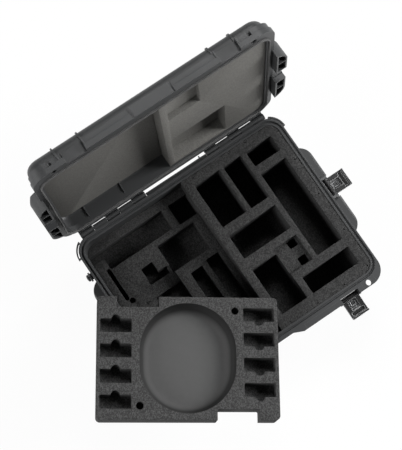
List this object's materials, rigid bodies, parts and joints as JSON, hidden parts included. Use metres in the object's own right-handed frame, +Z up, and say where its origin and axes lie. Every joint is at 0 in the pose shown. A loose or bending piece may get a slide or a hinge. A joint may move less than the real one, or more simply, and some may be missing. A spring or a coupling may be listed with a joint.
{
  "type": "test equipment case",
  "caption": "Hard plastic equipment case with a hinged lid, draw latches, a swinging handle, cut foam in both halves and a lift-out foam tray.",
  "frame": {"origin": "middle of the flat underside of the lower shell, in plan the middle of the case's inside", "axes": "+X along the hinge to the right, +Y towards the hinge, +Z up"},
  "size_m": [0.8186, 0.732, 0.632],
  "materials": {
    "shell_plastic": "fine leather grain, satin",
    "foam": "matt closed-cell foam",
    "steel": "satin",
    "seal_rubber": "matt",
    "grip_rubber": "matt"
  },
  "bodies": {
    "base": {"base_shell": "shell_plastic", "padlock_eyes": "shell_plastic", "end_pods": "shell_plastic", "front_rim": "shell_plastic", "base_floor_foam": "foam", "base_foam_left": "foam", "base_foam_right": "foam", "hinge_pins": "steel", "latch_pins": "steel", "handle_pins": "steel", "valve_body": "shell_plastic"},
    "lid": {"lid_shell": "shell_plastic", "lid_seal": "seal_rubber", "lid_foam_left": "foam", "lid_foam_right": "foam"},
    "front_right_latch": {"front_right_latch": "shell_plastic", "front_right_trigger_pin": "steel"},
    "front_left_latch": {"front_left_latch": "shell_plastic", "front_left_trigger_pin": "steel"},
    "right_latch": {"right_latch": "shell_plastic", "right_trigger_pin": "steel"},
    "left_latch": {"left_latch": "shell_plastic", "left_trigger_pin": "steel"},
    "front_right_trigger": {"front_right_trigger": "shell_plastic"},
    "front_left_trigger": {"front_left_trigger": "shell_plastic"},
    "right_trigger": {"right_trigger": "shell_plastic"},
    "left_trigger": {"left_trigger": "shell_plastic"},
    "handle": {"front_handle": "shell_plastic", "handle_grip": "grip_rubber"},
    "valve_knob": {"valve_knob": "shell_plastic"},
    "tray": {"foam_tray": "foam"}
  },
  "joints": [
    {"name": "lid_hinge", "type": "hinge", "parent": "base", "child": "lid", "pos_m": [0, 0.238, 0.151], "axis": [1, 0, 0], "range_deg": [0, 96]},
    {"name": "front_right_latch_hinge", "type": "hinge", "parent": "base", "child": "front_right_latch", "pos_m": [0.188, -0.2385, 0.143], "axis": [1, 0, 0], "range_deg": [-95, 0]},
    {"name": "front_left_latch_hinge", "type": "hinge", "parent": "base", "child": "front_left_latch", "pos_m": [-0.188, -0.2385, 0.143], "axis": [1, 0, 0], "range_deg": [-12, 83]},
    {"name": "right_latch_hinge", "type": "hinge", "parent": "base", "child": "right_latch", "pos_m": [0.3015, 0.005, 0.143], "axis": [0, 1, 0], "range_deg": [-95, 0]},
    {"name": "left_latch_hinge", "type": "hinge", "parent": "base", "child": "left_latch", "pos_m": [-0.3015, 0.005, 0.143], "axis": [0, -1, 0], "range_deg": [-12, 83]},
    {"name": "front_right_trigger_hinge", "type": "hinge", "parent": "front_right_latch", "child": "front_right_trigger", "pos_m": [0.188, -0.26817, 0.13789], "axis": [-1, 0, 0], "range_deg": [0, 12], "stiffness_Nm_per_rad": 0.05, "springref_deg": -11.46},
    {"name": "front_left_trigger_hinge", "type": "hinge", "parent": "front_left_latch", "child": "front_left_trigger", "pos_m": [-0.188, -0.24718, 0.17183], "axis": [-1, 0, 0], "range_deg": [0, 12], "stiffness_Nm_per_rad": 0.05, "springref_deg": -11.46},
    {"name": "right_trigger_hinge", "type": "hinge", "parent": "right_latch", "child": "right_trigger", "pos_m": [0.33117, 0.005, 0.13789], "axis": [0, -1, 0], "range_deg": [0, 12], "stiffness_Nm_per_rad": 0.05, "springref_deg": -11.46},
    {"name": "left_trigger_hinge", "type": "hinge", "parent": "left_latch", "child": "left_trigger", "pos_m": [-0.31018, 0.005, 0.17183], "axis": [0, 1, 0], "range_deg": [0, 12], "stiffness_Nm_per_rad": 0.05, "springref_deg": -11.46},
    {"name": "handle_swing", "type": "hinge", "parent": "base", "child": "handle", "pos_m": [0, -0.2255, 0.115], "axis": [-1, 0, 0], "range_deg": [0, 100]},
    {"name": "valve_turn", "type": "hinge", "parent": "base", "child": "valve_knob", "pos_m": [-0.277, 0.146, 0.138], "axis": [1, 0, 0], "range_deg": [0, 180]},
    {"name": "tray_slide", "type": "slide", "parent": "base", "child": "tray", "axis": [-0.5496, -0.8242, 0.1367], "range_m": [0, 0.301]}
  ],
  "couplings": [
    {"joint": "tray_slide", "follows": "lid_hinge", "m_per_rad": 0.179}
  ]
}
